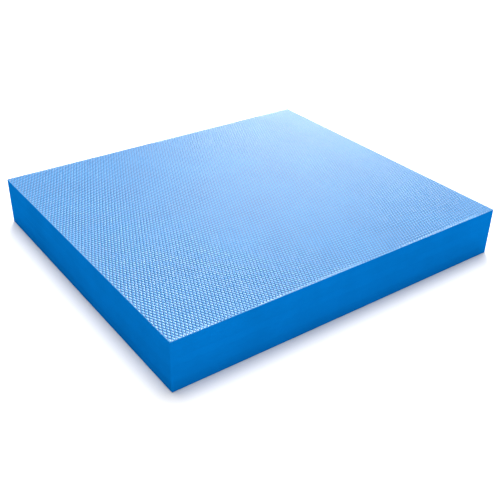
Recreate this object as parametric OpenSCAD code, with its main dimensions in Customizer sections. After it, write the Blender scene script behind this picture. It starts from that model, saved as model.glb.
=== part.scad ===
// Balance pad: a firm, springy slab of closed-cell foam to stand on.
// It is built as it is made. Foam plies are heat-laminated into a core, an embossed
// non-slip skin is laminated to each face, and one cut then trims all the edges flush.
// X runs along the longer side, Y along the shorter side and Z up through the layers.
// The origin is the middle of the face that rests on the floor.

/* [Pad] */
// Length of the pad along X, its longer side
pad_length = 450; // [380:5:500]
// Width of the pad along Y, its shorter side
pad_width = 400; // [320:5:420]
// Thickness of the whole pad, both skins included
pad_height = 60; // [45:1:80]

/* [Layers] */
// Thickness of each embossed non-slip skin, to the tops of its embossing
skin_thickness = 3; // [2:0.5:5]

/* [Cut edges] */
// Radius of the four upright corners, as the knife turns them
corner_radius = 2; // [1.5:0.5:10]
// Width of the softened edge around the top face and the bottom face
edge_break = 1; // [0.5:0.25:1.25]

/* [Hidden] */
// How many equal plies make the core
PLIES = 6;
core_height = pad_height - 2 * skin_thickness;
ply_thickness = core_height / PLIES;
straight_length = pad_length - 2 * corner_radius;
straight_width = pad_width - 2 * corner_radius;
$fn = 64;

function ply_name(level) = str("core_ply_", level);

// Places its children at the centres of the four corner arcs
module at_corners() {
    for (side_x = [-1, 1], side_y = [-1, 1])
        translate([side_x * straight_length / 2, side_y * straight_width / 2])
            children();
}

// The pad's outline as the knife cuts it
module cut_outline() {
    square([straight_length, pad_width], center = true);
    square([pad_length, straight_width], center = true);
    at_corners() circle(r = corner_radius);
}

// Cross-section of the softened edge strip, span wide at its foot
module edge_section(span) {
    polygon([
        [-span / 2, 0],
        [span / 2, 0],
        [span / 2 - edge_break, edge_break],
        [-span / 2 + edge_break, edge_break]
    ]);
}

// A skin lying face up on z = 0, with the softened edge around its face
module skin() {
    linear_extrude(skin_thickness - edge_break) cut_outline();
    translate([0, 0, skin_thickness - edge_break]) {
        rotate([90, 0, 90])
            linear_extrude(straight_length, center = true) edge_section(pad_width);
        rotate([90, 0, 0])
            linear_extrude(straight_width, center = true) edge_section(pad_length);
        at_corners()
            cylinder(h = edge_break, r1 = corner_radius, r2 = corner_radius - edge_break);
    }
}

// The skin that lies on the floor: the same sheet, laid face down
module bottom_skin() {
    color("royalblue") translate([0, 0, skin_thickness]) mirror([0, 0, 1]) skin();
}

// One of the foam sheets between the skins, counted upwards from 1
module core_ply(level) {
    color(level % 2 == 1 ? "dodgerblue" : "cornflowerblue")
        translate([0, 0, skin_thickness + (level - 1) * ply_thickness])
            linear_extrude(ply_thickness) cut_outline();
}

// The skin that is stood on
module top_skin() {
    color("lightskyblue") translate([0, 0, pad_height - skin_thickness]) skin();
}

bottom_skin();
for (level = [1 : PLIES])
    core_ply(level);
top_skin();
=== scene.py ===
"""Looks of the balance pad: embossed skins, cut foam plies, a white studio and the camera.

Everything is in metres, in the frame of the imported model. The pad rests on z = 0.
"""

import math

import bmesh
import bpy
import numpy as np
from mathutils import Matrix, Vector, noise


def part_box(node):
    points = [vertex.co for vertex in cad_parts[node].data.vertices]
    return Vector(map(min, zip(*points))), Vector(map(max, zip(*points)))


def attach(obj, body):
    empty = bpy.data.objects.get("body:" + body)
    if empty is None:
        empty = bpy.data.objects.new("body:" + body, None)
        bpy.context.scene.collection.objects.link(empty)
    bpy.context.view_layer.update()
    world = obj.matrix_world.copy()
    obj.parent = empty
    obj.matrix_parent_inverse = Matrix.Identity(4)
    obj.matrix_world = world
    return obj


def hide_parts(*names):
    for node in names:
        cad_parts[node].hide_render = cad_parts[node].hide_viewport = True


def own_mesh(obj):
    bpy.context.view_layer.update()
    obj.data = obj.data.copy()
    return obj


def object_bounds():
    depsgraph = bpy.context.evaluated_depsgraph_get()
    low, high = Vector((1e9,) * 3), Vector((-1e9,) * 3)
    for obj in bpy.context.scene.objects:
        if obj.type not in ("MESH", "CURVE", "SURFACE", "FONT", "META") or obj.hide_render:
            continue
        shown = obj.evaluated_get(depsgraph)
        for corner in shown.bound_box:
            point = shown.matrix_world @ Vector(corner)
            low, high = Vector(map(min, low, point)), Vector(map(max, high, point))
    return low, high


MM = 0.001

# The camera: where it stands round the pad, and how far off the pad's foot it looks
CAMERA_AZIMUTH = -36.5  # degrees; 0 looks along +Y
CAMERA_ELEVATION = 31.37  # degrees above the floor
CAMERA_ROLL = 1.22  # degrees
CAMERA_DISTANCE = 961 * MM
CAMERA_ASIDE = 8.3 * MM
CAMERA_RAISE = -17.5 * MM
CAMERA_LENS = 54.5  # mm, on a 36 mm sensor
CAMERA_SENSOR = 36  # mm
CAMERA_CLIP = 10 * MM

# The studio. Powers are in watts, and sizes and distances in metres
ROOM_LIGHT = 0.55  # of the white room all round
CEILING_LIGHT = 3.0  # of the wide light overhead
CEILING_SPREAD = 32  # degrees across
CEILING_LEAN = 16  # degrees from straight above, away from the camera
CEILING_DISTANCE = 2  # only its direction counts
BACK_POWER = 90
BACK_SIZE = (1.4, 0.58)
BACK_ELEVATION = 36  # degrees above the floor, beyond the pad from the camera
BACK_DISTANCE = 2.8
KEY_POWER = 9
KEY_SIZE = (1.2, 0.8)
KEY_PLACE = (-0.6, -1.8, 0.8)
FLOOR_REACH = 30.0  # from the middle of the floor to its sides
FLOOR_WHITE = 0.86
FLOOR_ROUGH = 0.9
FLOOR_SPECULAR = 0.1

# The embossed skins: long diamonds in a staggered lattice, inside a smooth rim
DIAMOND_WIDTH = 3.88 * MM  # along X
DIAMOND_LENGTH = 7.82 * MM  # along Y
DIAMOND_TURN = math.radians(1.2)  # how far the lattice lies askew of the cut edges
CROWN_SHARE_NE = 0.49  # share of a diamond that its crown spans, from -X-Y towards +X+Y
CROWN_SHARE_NW = 0.70  # and from +X-Y towards -X+Y
CROWN_DROP = 0.17 * MM  # from the middle of a crown to its shoulders
GROOVE_DEPTH = 0.57 * MM  # from the middle of a crown to the bottom of the grooves
GROOVE_RELIEF = 0.02  # an edge whose ends both have less relief than this shades sharply
RIM_WIDTH = 0.5 * MM  # the smooth rim round the embossing
RIM_DROP = 0.25 * MM  # the rim starts this far below the crowns
RIM_ROLL = 0.20 * MM  # and rolls down by this much towards the rounded edge
RIM_FADE = 0.5 * MM  # the embossing dies out over this distance from the rim
EDGE_RADIUS = 0.45 * MM  # of the rounded edge of each face
EDGE_STEPS = 3
EDGE_SKIN_SHARE = 0.25  # of the rounded edge's height, from its top, that looks like skin
SHARP_ANGLE = 15  # faces that meet more sharply than this many degrees don't shade as one

# The pad's upright corners
CORNER_RADIUS = 2.0 * MM
CORNER_STEPS = 6
CUT_SNAP = 1e-7  # what lies this close to the cut of a corner counts as on it

# The cut sides
SEAM_RADIUS = 0.10 * MM  # of the softened edge of each ply, seen as a hairline
SEAM_STEPS = 2
SIDE_STEP = 3.0 * MM  # spacing of the points round a ply's side
SIDE_ROWS = 6
SKIN_SIDE_ROWS = 2
KNIFE_WAVE = 0.10 * MM  # how far the cut side wanders in
KNIFE_WAVE_LENGTH = 55 * MM

# The look of the skins
# Painted shade: the skins' blue is darker down in the grooves than on the crowns
GROOVE_PAINTED_SHADE = (0.001, 0.065, 0.22)
CROWN_BLUE = (0.009, 0.255, 0.59)
GROOVE_SHADE_RELIEF = (0.28, 0.88)  # the relief at which the blue is all painted groove shade, and all crown
SKIN_CLOUD_SIZE = 60 * MM  # of broad patches that are a little lighter
SKIN_CLOUD_SHARE = 0.10
SKIN_CLOUD_LIGHTER = 1.15
SKIN_SPECULAR = 1.0
SKIN_ROUGH = (0.41, 0.46)
SKIN_PATCH_SIZE = 9 * MM  # of patches of more and less gloss
RIM_ROUGH = 0.8
GRAIN_SIZE = 0.55 * MM
GRAIN_HEIGHT = 0.05 * MM

# The look of the cut foam
CUT_DEEP = (0.0005, 0.134, 0.445)
CUT_LIGHT = (0.0006, 0.146, 0.485)
CUT_CLOUD_SIZE = 45 * MM
CUT_SPECULAR = 0.0
CUT_ROUGH = (0.62, 0.75)
CUT_PATCH_SIZE = 6 * MM
CELL_SIZE = 0.55 * MM
CELL_DEPTH = 0.06 * MM
# Painted shade: each cell's pit is darker than the foam round it
PIT_SHADE_REACH = (0.05, 0.35)  # where the painted shade in a cell's pit is darkest and where it ends, in cells
PIT_SHADE_SHARE = 0.45
PIT_SHADE_DARKER = 0.8
DRAG_SIZE = 2.2 * MM  # of the lumps that the knife leaves
DRAG_HEIGHT = 0.05 * MM
PLY_TONES = (0.985, 1.01, 0.995, 1.015, 0.99, 1.005)  # each ply is from its own batch of foam

# Noise hardly reaches 0 and 1, so a ramp takes the part of its range that it does reach
BROAD_NOISE = (0.35, 0.65)
PATCHY_NOISE = (0.3, 0.7)

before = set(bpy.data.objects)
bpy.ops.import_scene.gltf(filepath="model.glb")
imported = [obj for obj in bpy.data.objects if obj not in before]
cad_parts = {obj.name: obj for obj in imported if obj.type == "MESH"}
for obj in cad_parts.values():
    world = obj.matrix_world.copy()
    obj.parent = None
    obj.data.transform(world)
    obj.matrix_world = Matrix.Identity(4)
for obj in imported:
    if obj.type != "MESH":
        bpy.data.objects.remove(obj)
cad_low, cad_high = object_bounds()


# ---------------------------------------------------------------- camera, light and floor

def make_camera():
    """The camera, looking at the pad from beyond its near left corner."""
    azimuth, elevation = math.radians(CAMERA_AZIMUTH), math.radians(CAMERA_ELEVATION)
    back = Vector((
        math.sin(azimuth) * math.cos(elevation),
        -math.cos(azimuth) * math.cos(elevation),
        math.sin(elevation),
    ))
    right = Vector((math.cos(azimuth), math.sin(azimuth), 0))
    up = back.cross(right)
    place = back * CAMERA_DISTANCE + right * CAMERA_ASIDE + up * CAMERA_RAISE
    roll = Matrix.Rotation(math.radians(CAMERA_ROLL), 3, back)
    axes = Matrix((roll @ right, roll @ up, back)).transposed()
    data = bpy.data.cameras.new("camera")
    data.lens = CAMERA_LENS
    data.sensor_width = CAMERA_SENSOR
    data.clip_start = CAMERA_CLIP
    camera = bpy.data.objects.new("camera", data)
    camera.matrix_world = Matrix.Translation(place) @ axes.to_4x4()
    bpy.context.scene.collection.objects.link(camera)
    bpy.context.scene.camera = camera


def behind(elevation, distance):
    """The place at that elevation, in degrees, beyond the pad from the camera."""
    azimuth, elevation = math.radians(CAMERA_AZIMUTH), math.radians(elevation)
    return Vector((
        -math.sin(azimuth) * math.cos(elevation),
        math.cos(azimuth) * math.cos(elevation),
        math.sin(elevation),
    )) * distance


def make_light(name, kind, place, power):
    """A light at place, facing the middle of the tread."""
    data = bpy.data.lights.new(name, kind)
    data.energy = power
    light = bpy.data.objects.new(name, data)
    light.location = place
    aim = Vector((0, 0, cad_high.z)) - Vector(place)
    light.rotation_euler = aim.to_track_quat("-Z", "Y").to_euler()
    bpy.context.scene.collection.objects.link(light)
    return light


def make_softbox(name, place, size, power):
    data = make_light(name, "AREA", place, power).data
    data.shape = "RECTANGLE"
    data.size, data.size_y = size


def make_studio():
    """A white room, a ceiling light, a softbox that the tread reflects, and a key in front.

    The tread doesn't mirror the ceiling light, whose glare would wash out the embossing.
    """
    world = bpy.data.worlds.new("white_room")
    bpy.context.scene.world = world
    world.use_nodes = True
    background = world.node_tree.nodes["Background"]
    background.inputs["Color"].default_value = (1, 1, 1, 1)
    background.inputs["Strength"].default_value = ROOM_LIGHT
    overhead = behind(90 - CEILING_LEAN, CEILING_DISTANCE)
    ceiling = make_light("ceiling", "SUN", overhead, CEILING_LIGHT)
    ceiling.data.angle = math.radians(CEILING_SPREAD)
    ceiling.visible_glossy = False
    make_softbox("back_softbox", behind(BACK_ELEVATION, BACK_DISTANCE), BACK_SIZE, BACK_POWER)
    make_softbox("front_key", KEY_PLACE, KEY_SIZE, KEY_POWER)


def make_floor():
    signs = [(-1, -1), (1, -1), (1, 1), (-1, 1)]
    corners = [(x * FLOOR_REACH, y * FLOOR_REACH, 0) for x, y in signs]
    mesh = bpy.data.meshes.new("floor")
    mesh.from_pydata(corners, [], [(0, 1, 2, 3)])
    floor = bpy.data.objects.new("floor", mesh)
    bpy.context.scene.collection.objects.link(floor)
    material = new_material("white_floor")
    shader = material.node_tree.nodes["Principled BSDF"]
    shader.inputs["Base Color"].default_value = (FLOOR_WHITE, FLOOR_WHITE, FLOOR_WHITE, 1)
    shader.inputs["Roughness"].default_value = FLOOR_ROUGH
    shader.inputs["Specular IOR Level"].default_value = FLOOR_SPECULAR
    mesh.materials.append(material)


# ---------------------------------------------------------------- materials

def new_material(name):
    material = bpy.data.materials.new(name)
    material.use_nodes = True
    return material


def scaled(colour, factor):
    return tuple(factor * channel for channel in colour)


class Nodes:
    """Short calls that add and link nodes in one material."""

    def __init__(self, material):
        self.tree = material.node_tree
        self.shader = self.tree.nodes["Principled BSDF"]
        self.place = self.add("ShaderNodeTexCoord").outputs["Object"]

    def add(self, kind, **settings):
        node = self.tree.nodes.new(kind)
        for name, value in settings.items():
            setattr(node, name, value)
        return node

    def link(self, source, target):
        self.tree.links.new(source, target)

    def noise(self, size, detail, roughness=0.5):
        """Noise whose blobs are about size across, from 0 to 1."""
        node = self.add("ShaderNodeTexNoise")
        node.inputs["Scale"].default_value = 1 / size
        node.inputs["Detail"].default_value = detail
        node.inputs["Roughness"].default_value = roughness
        self.link(self.place, node.inputs["Vector"])
        return node.outputs["Fac"]

    def cells(self, size):
        """Distance to the nearest of scattered points about size apart, in sizes."""
        node = self.add("ShaderNodeTexVoronoi", feature="F1")
        node.inputs["Scale"].default_value = 1 / size
        self.link(self.place, node.inputs["Vector"])
        return node.outputs["Distance"]

    def ramp(self, value, low, high, to_low=0.0, to_high=1.0):
        """value from low..high to to_low..to_high, held at the ends."""
        node = self.add("ShaderNodeMapRange", clamp=True)
        sockets = ("From Min", "From Max", "To Min", "To Max")
        for name, number in zip(sockets, (low, high, to_low, to_high)):
            node.inputs[name].default_value = number
        self.link(value, node.inputs["Value"])
        return node.outputs["Result"]

    def mix(self, factor, first, second):
        """A colour between first and second, each a colour or a socket."""
        node = self.add("ShaderNodeMix", data_type="RGBA")
        self.link(factor, node.inputs["Factor"])
        # The node has sockets called A, B and Result for each type: these are the colours
        for value, socket in ((first, node.inputs[6]), (second, node.inputs[7])):
            if isinstance(value, tuple):
                socket.default_value = (*value, 1)
            else:
                self.link(value, socket)
        return node.outputs[2]

    def larger(self, first, second):
        node = self.add("ShaderNodeMath", operation="MAXIMUM")
        self.link(first, node.inputs[0])
        self.link(second, node.inputs[1])
        return node.outputs["Value"]

    def attribute(self, name):
        return self.add("ShaderNodeAttribute", attribute_name=name).outputs["Fac"]

    def bump(self, height, distance, strength, under=None):
        """A normal bent by height, on top of the normal under."""
        node = self.add("ShaderNodeBump")
        node.inputs["Strength"].default_value = strength
        node.inputs["Distance"].default_value = distance
        self.link(height, node.inputs["Height"])
        if under is not None:
            self.link(under, node.inputs["Normal"])
        return node.outputs["Normal"]


def skin_material():
    """The non-slip skin: satin, with painted shade darkening its blue down in the grooves, and a
    fine grain.
    """
    material = new_material("skin_foam")
    nodes = Nodes(material)
    shader = nodes.shader
    # Painted shade: the blue darkens from the crowns down into the grooves
    crown_share = nodes.ramp(nodes.attribute("relief"), *GROOVE_SHADE_RELIEF)
    groove_shade_by_relief = nodes.mix(crown_share, GROOVE_PAINTED_SHADE, CROWN_BLUE)
    clouds = nodes.noise(SKIN_CLOUD_SIZE, detail=3.0)
    cloud_share = nodes.ramp(clouds, *BROAD_NOISE, 0.0, SKIN_CLOUD_SHARE)
    blue = nodes.mix(cloud_share, groove_shade_by_relief, scaled(CROWN_BLUE, SKIN_CLOUD_LIGHTER))
    nodes.link(blue, shader.inputs["Base Color"])
    patchy = nodes.ramp(nodes.noise(SKIN_PATCH_SIZE, detail=4.0), *PATCHY_NOISE, *SKIN_ROUGH)
    dull = nodes.ramp(nodes.attribute("rim"), 0.0, 1.0, 0.0, RIM_ROUGH)
    nodes.link(nodes.larger(patchy, dull), shader.inputs["Roughness"])
    shader.inputs["Specular IOR Level"].default_value = SKIN_SPECULAR
    grains = nodes.noise(GRAIN_SIZE, detail=3.0, roughness=0.6)
    grain = nodes.bump(grains, GRAIN_HEIGHT, strength=0.5)
    nodes.link(grain, shader.inputs["Normal"])
    return material


def cut_material(name, tone):
    """Cut closed-cell foam: matte, pitted by tiny cells, with painted shade in the pits. tone
    shifts one ply's blue a little.
    """
    material = new_material(name)
    nodes = Nodes(material)
    shader = nodes.shader
    deep, light = scaled(CUT_DEEP, tone), scaled(CUT_LIGHT, tone)
    cloudy = nodes.ramp(nodes.noise(CUT_CLOUD_SIZE, detail=4.0), *BROAD_NOISE)
    cells = nodes.cells(CELL_SIZE)
    # Painted shade in the pits of the cells
    pit_shade = nodes.ramp(cells, *PIT_SHADE_REACH, PIT_SHADE_SHARE, 0.0)
    blue = nodes.mix(pit_shade, nodes.mix(cloudy, deep, light), scaled(deep, PIT_SHADE_DARKER))
    nodes.link(blue, shader.inputs["Base Color"])
    patchy = nodes.ramp(nodes.noise(CUT_PATCH_SIZE, detail=3.0), *PATCHY_NOISE, *CUT_ROUGH)
    nodes.link(patchy, shader.inputs["Roughness"])
    shader.inputs["Specular IOR Level"].default_value = CUT_SPECULAR
    pitted = nodes.bump(cells, CELL_DEPTH, strength=0.6)
    lumps = nodes.noise(DRAG_SIZE, detail=3.0)
    dragged = nodes.bump(lumps, DRAG_HEIGHT, strength=0.5, under=pitted)
    nodes.link(dragged, shader.inputs["Normal"])
    return material


# ---------------------------------------------------------------- shapes

def core_of(name):
    """Half the sides of the rectangle that a piece's rounded outline is drawn round."""
    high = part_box(name)[1]
    return np.array([high.x - CORNER_RADIUS, high.y - CORNER_RADIUS])


def even_points(half, spacing):
    """Numbers from -half to half, both left out, about spacing apart."""
    count = round(2 * half / spacing)
    return [-half + 2 * half * n / count for n in range(1, count)]


def outline_sides(core):
    """For each side, anticlockwise from the right: its angle, the ways out and along, its corner.

    The corner is the centre of the arc at the side's far end.
    """
    for quarter in range(4):
        angle = math.radians(90 * quarter)
        out = np.array((round(math.cos(angle)), round(math.sin(angle))))
        along = np.array((-out[1], out[0]))
        yield angle, out, along, core * (out + along)


def corner_ways(angle):
    """Ways out of a corner, from its first side's, which faces angle, to its second side's."""
    turns = [angle + math.radians(90) * step / CORNER_STEPS for step in range(CORNER_STEPS + 1)]
    return [np.array((math.cos(turn), math.sin(turn))) for turn in turns]


def rounded_outline(core, spacing):
    """Points anticlockwise round the pad's outline, with an arc at each corner."""
    points = []
    for angle, out, along, corner in outline_sides(core):
        half = abs(along @ core)
        for distance in even_points(half, spacing):
            points.append(corner + out * CORNER_RADIUS + along * (distance - half))
        points += [corner + CORNER_RADIUS * way for way in corner_ways(angle)]
    return np.array(points)


def feet_and_ways(points, core):
    """The nearest point of the core to each point, and the way out of the pad there."""
    feet = np.clip(points, -core, core)
    ways = points - feet
    return feet, ways / np.linalg.norm(ways, axis=1)[:, None]


def side_profile(low, high, low_radius, high_radius, rows, low_steps, high_steps):
    """(offset from the outline, height) down a side from its top edge, both edges rounded."""
    profile = []
    for step in range(high_steps + 1):
        turn = math.radians(90 * step / high_steps)
        profile.append((
            high_radius * (math.sin(turn) - 1),
            high - high_radius * (1 - math.cos(turn)),
        ))
    top, bottom = high - high_radius, low + low_radius
    for row in range(1, rows):
        profile.append((0.0, top + (bottom - top) * row / rows))
    for step in range(low_steps + 1):
        turn = math.radians(90 * step / low_steps)
        profile.append((
            low_radius * (math.cos(turn) - 1),
            low + low_radius * (1 - math.sin(turn)),
        ))
    return profile


def knife_wander(points):
    """How far the cut side stands in from the outline at each point: never outwards."""
    waves = [noise.noise(Vector((x, y, 0)) / KNIFE_WAVE_LENGTH) for x, y in points]
    return -KNIFE_WAVE * (0.5 + 0.5 * np.array(waves))


def add_rings(vertices, faces, ring, feet, ways, profile):
    """Lofts a ring of vertices for each step of profile, from ring on. Returns the last ring."""
    count = len(feet)
    outline = CORNER_RADIUS + knife_wander(feet)
    for offset, height in profile:
        placed = feet + ways * (outline + offset)[:, None]
        start = len(vertices)
        vertices.extend((x, y, height) for x, y in placed)
        following = list(range(start, start + count))
        if ring:
            for here in range(count):
                there = (here + 1) % count
                faces.append([ring[here], following[here], following[there], ring[there]])
        ring = following
    return ring


def object_from(name, vertices, faces, materials, of_face=None, groove=None):
    """An object of these faces, smooth but for sharp edges and, where given, its grooves.

    of_face is the number of each face's material, and groove says which vertices lie in one.
    """
    mesh = bpy.data.meshes.new(name)
    mesh.from_pydata([tuple(place) for place in vertices], [], faces)
    for material in materials:
        mesh.materials.append(material)
    if of_face is not None:
        mesh.polygons.foreach_set("material_index", of_face)
    mesh.polygons.foreach_set("use_smooth", [True] * len(mesh.polygons))
    mesh.set_sharp_from_angle(angle=math.radians(SHARP_ANGLE))
    if groove is not None:
        ends = np.empty(2 * len(mesh.edges), np.int32)
        mesh.edges.foreach_get("vertices", ends)
        sharp = np.empty(len(mesh.edges), bool)
        mesh.edges.foreach_get("use_edge_sharp", sharp)
        in_groove = groove[ends.reshape(-1, 2)].all(axis=1)
        mesh.edges.foreach_set("use_edge_sharp", sharp | in_groove)
    piece = bpy.data.objects.new(name, mesh)
    bpy.context.scene.collection.objects.link(piece)
    return piece


def make_ply(name, material):
    """One foam sheet of the core: flat faces, and a cut side that wanders a little."""
    low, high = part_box(name)
    core = core_of(name)
    feet, ways = feet_and_ways(rounded_outline(core, SIDE_STEP), core)
    profile = side_profile(
        low.z, high.z, SEAM_RADIUS, SEAM_RADIUS, SIDE_ROWS, SEAM_STEPS, SEAM_STEPS
    )
    vertices, faces = [], []
    bottom = add_rings(vertices, faces, [], feet, ways, profile)
    faces.append(list(range(len(feet))))
    faces.append(bottom[::-1])
    return object_from(name + "_foam", vertices, faces, [material])


def diamond_lattice(half_x, half_y):
    """An open sheet of staggered diamonds that covers the rectangle: places, relief, faces.

    Each diamond has a middle, four shoulders and the four crossings of grooves round it,
    which it shares with its neighbours. Relief runs from 0 in the grooves to 1 on top.
    """
    reach = math.hypot(half_x, half_y) * math.sin(DIAMOND_TURN) + DIAMOND_LENGTH
    half_width, half_length = DIAMOND_WIDTH / 2, DIAMOND_LENGTH / 2
    columns = math.ceil((half_x + reach) / half_width)
    rows = math.ceil((half_y + reach) / half_length)
    directions = [(1, 0), (0, 1), (-1, 0), (0, -1)]
    spread = (CROWN_SHARE_NE + CROWN_SHARE_NW) / 2
    skew = (CROWN_SHARE_NE - CROWN_SHARE_NW) / 2
    shoulder_relief = 1 - CROWN_DROP / GROOVE_DEPTH
    crossings, places, relief, faces = {}, [], [], []

    def add(i, j, height):
        places.append((i * half_width, j * half_length))
        relief.append(height)
        return len(places) - 1

    for i in range(-columns, columns + 1):
        for j in range(-rows, rows + 1):
            if (i + j) % 2:
                continue
            middle = add(i, j, 1.0)
            shoulders, outer = [], []
            for x, y in directions:
                across, up = i + x * spread + y * skew, j + y * spread + x * skew
                shoulders.append(add(across, up, shoulder_relief))
                key = (i + x, j + y)
                if key not in crossings:
                    crossings[key] = add(*key, 0.0)
                outer.append(crossings[key])
            for n in range(4):
                m = (n + 1) % 4
                faces.append((middle, shoulders[n], shoulders[m]))
                faces.append((shoulders[n], outer[n], outer[m], shoulders[m]))
    cos_turn, sin_turn = math.cos(DIAMOND_TURN), math.sin(DIAMOND_TURN)
    turn = np.array([[cos_turn, sin_turn], [-sin_turn, cos_turn]])
    return np.array(places) @ turn, np.array(relief), faces


def cut_off(mesh, faces, place, way):
    """Cuts away what lies beyond place, towards way, from these faces of the mesh.

    Keys of a dict, unlike a set, keep their order, so each run numbers the mesh alike.
    """
    edges = dict.fromkeys(edge for face in faces for edge in face.edges)
    verts = dict.fromkeys(vert for face in faces for vert in face.verts)
    bmesh.ops.bisect_plane(
        mesh,
        geom=[*verts, *edges, *faces],
        dist=CUT_SNAP,
        plane_co=(*place, 0),
        plane_no=(*way, 0),
        clear_outer=True,
    )


def trimmed_sheet(core):
    """The lattice cut to the outline inside the rim: vertices, faces and the outer loop.

    A vertex has its relief as its height.
    """
    inner_radius = CORNER_RADIUS - RIM_WIDTH
    places, relief, faces = diamond_lattice(*(core + inner_radius))
    mesh = bmesh.new()
    verts = [mesh.verts.new((x, y, height)) for (x, y), height in zip(places, relief)]
    for face in faces:
        mesh.faces.new([verts[n] for n in face])
    for _, out, _, corner in outline_sides(core):
        cut_off(mesh, list(mesh.faces), corner + out * inner_radius, out)
    for angle, _, _, corner in outline_sides(core):
        centre = Vector((*corner, 0))
        near = [f for f in mesh.faces if (f.verts[0].co - centre).length < DIAMOND_LENGTH]
        for way in corner_ways(angle)[1:-1]:
            near = [f for f in near if f.is_valid]
            near += [f for face in list(near) for edge in face.edges for f in edge.link_faces]
            cut_off(mesh, list(dict.fromkeys(near)), corner + way * inner_radius, way)
    mesh.verts.index_update()
    vertices = np.array([vert.co for vert in mesh.verts])
    kept = [[vert.index for vert in face.verts] for face in mesh.faces]
    rim = [vert.index for vert in mesh.verts if vert.is_boundary]
    rim.sort(key=lambda n: math.atan2(vertices[n, 1], vertices[n, 0]))
    mesh.free()
    return vertices, kept, rim


def depth_inside(points, core, radius):
    """How far each point is inside the outline at radius round the core."""
    beyond = np.abs(points) - core
    outside = np.linalg.norm(np.maximum(beyond, 0), axis=1)
    return radius - outside - np.minimum(beyond.max(axis=1), 0)


def make_skin(name, facing_up, skin, cut):
    """An embossed skin: its lattice of diamonds, smooth rim, rounded edge and cut side.

    It is built face up on z = 0. Its materials read two attributes: relief, which runs from 0
    in the grooves to 1 on the crowns, and rim, which is 1 on the smooth rim.
    """
    low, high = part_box(name)
    core = core_of(name)
    thickness = high.z - low.z
    sheet, faces, rim = trimmed_sheet(core)
    fade = np.clip(depth_inside(sheet[:, :2], core, CORNER_RADIUS - RIM_WIDTH) / RIM_FADE, 0, 1)
    rim_relief = 1 - RIM_DROP / GROOVE_DEPTH
    smooth_fade = fade * fade * (3 - 2 * fade)
    relief = rim_relief + (sheet[:, 2] - rim_relief) * smooth_fade
    sheet[:, 2] = thickness - (1 - relief) * GROOVE_DEPTH

    feet, ways = feet_and_ways(sheet[rim, :2], core)
    vertices = [tuple(place) for place in sheet]
    edge_height = thickness - RIM_DROP - RIM_ROLL
    profile = side_profile(
        0, edge_height, SEAM_RADIUS, EDGE_RADIUS, SKIN_SIDE_ROWS, SEAM_STEPS, EDGE_STEPS
    )
    joint_side = add_rings(vertices, faces, rim, feet, ways, profile)
    faces.append(joint_side[::-1])
    placed = np.array(vertices)
    cut_below = edge_height - EDGE_SKIN_SHARE * EDGE_RADIUS
    of_face = [
        int(placed[face, 2].mean() < cut_below and max(face) >= len(sheet)) for face in faces
    ]
    added = len(vertices) - len(sheet)
    relief = np.concatenate([relief, np.full(added, rim_relief)])
    rim_share = np.concatenate([1 - fade, np.ones(added)])
    if facing_up:
        placed[:, 2] += low.z
    else:
        placed[:, 2] = high.z - placed[:, 2]
        faces = [face[::-1] for face in faces]
    in_groove = relief < GROOVE_RELIEF
    piece = object_from(name + "_embossed", placed, faces, [skin, cut], of_face, in_groove)
    for key, values in (("relief", relief), ("rim", rim_share)):
        attribute = piece.data.attributes.new(key, "FLOAT", "POINT")
        attribute.data.foreach_set("value", values.astype(np.float32))
    return piece


# ---------------------------------------------------------------- the pad

def fit(piece, node, body):
    """Puts a foam piece in the place of its CAD node."""
    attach(piece, body)
    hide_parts(node)


def make_pad():
    """The two skins, and the plies between them, the lower half going with the base and the upper
    half with the tread.
    """
    skin, skin_cut = skin_material(), cut_material("skin_cut", 1.0)
    bottom = make_skin("bottom_skin", False, skin, skin_cut)
    fit(bottom, "bottom_skin", "base")
    top = make_skin("top_skin", True, skin, skin_cut)
    fit(top, "top_skin", "tread")

    for level, tone in enumerate(PLY_TONES, start=1):
        node = f"core_ply_{level}"
        ply = make_ply(node, cut_material(f"core_foam_{level}", tone))
        lower = level <= len(PLY_TONES) // 2
        fit(ply, node, "base" if lower else "tread")
        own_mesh(ply)


make_camera()
make_studio()
make_floor()
make_pad()

bpy.context.scene.view_settings.view_transform = "Standard"
bpy.context.scene.view_settings.look = "None"
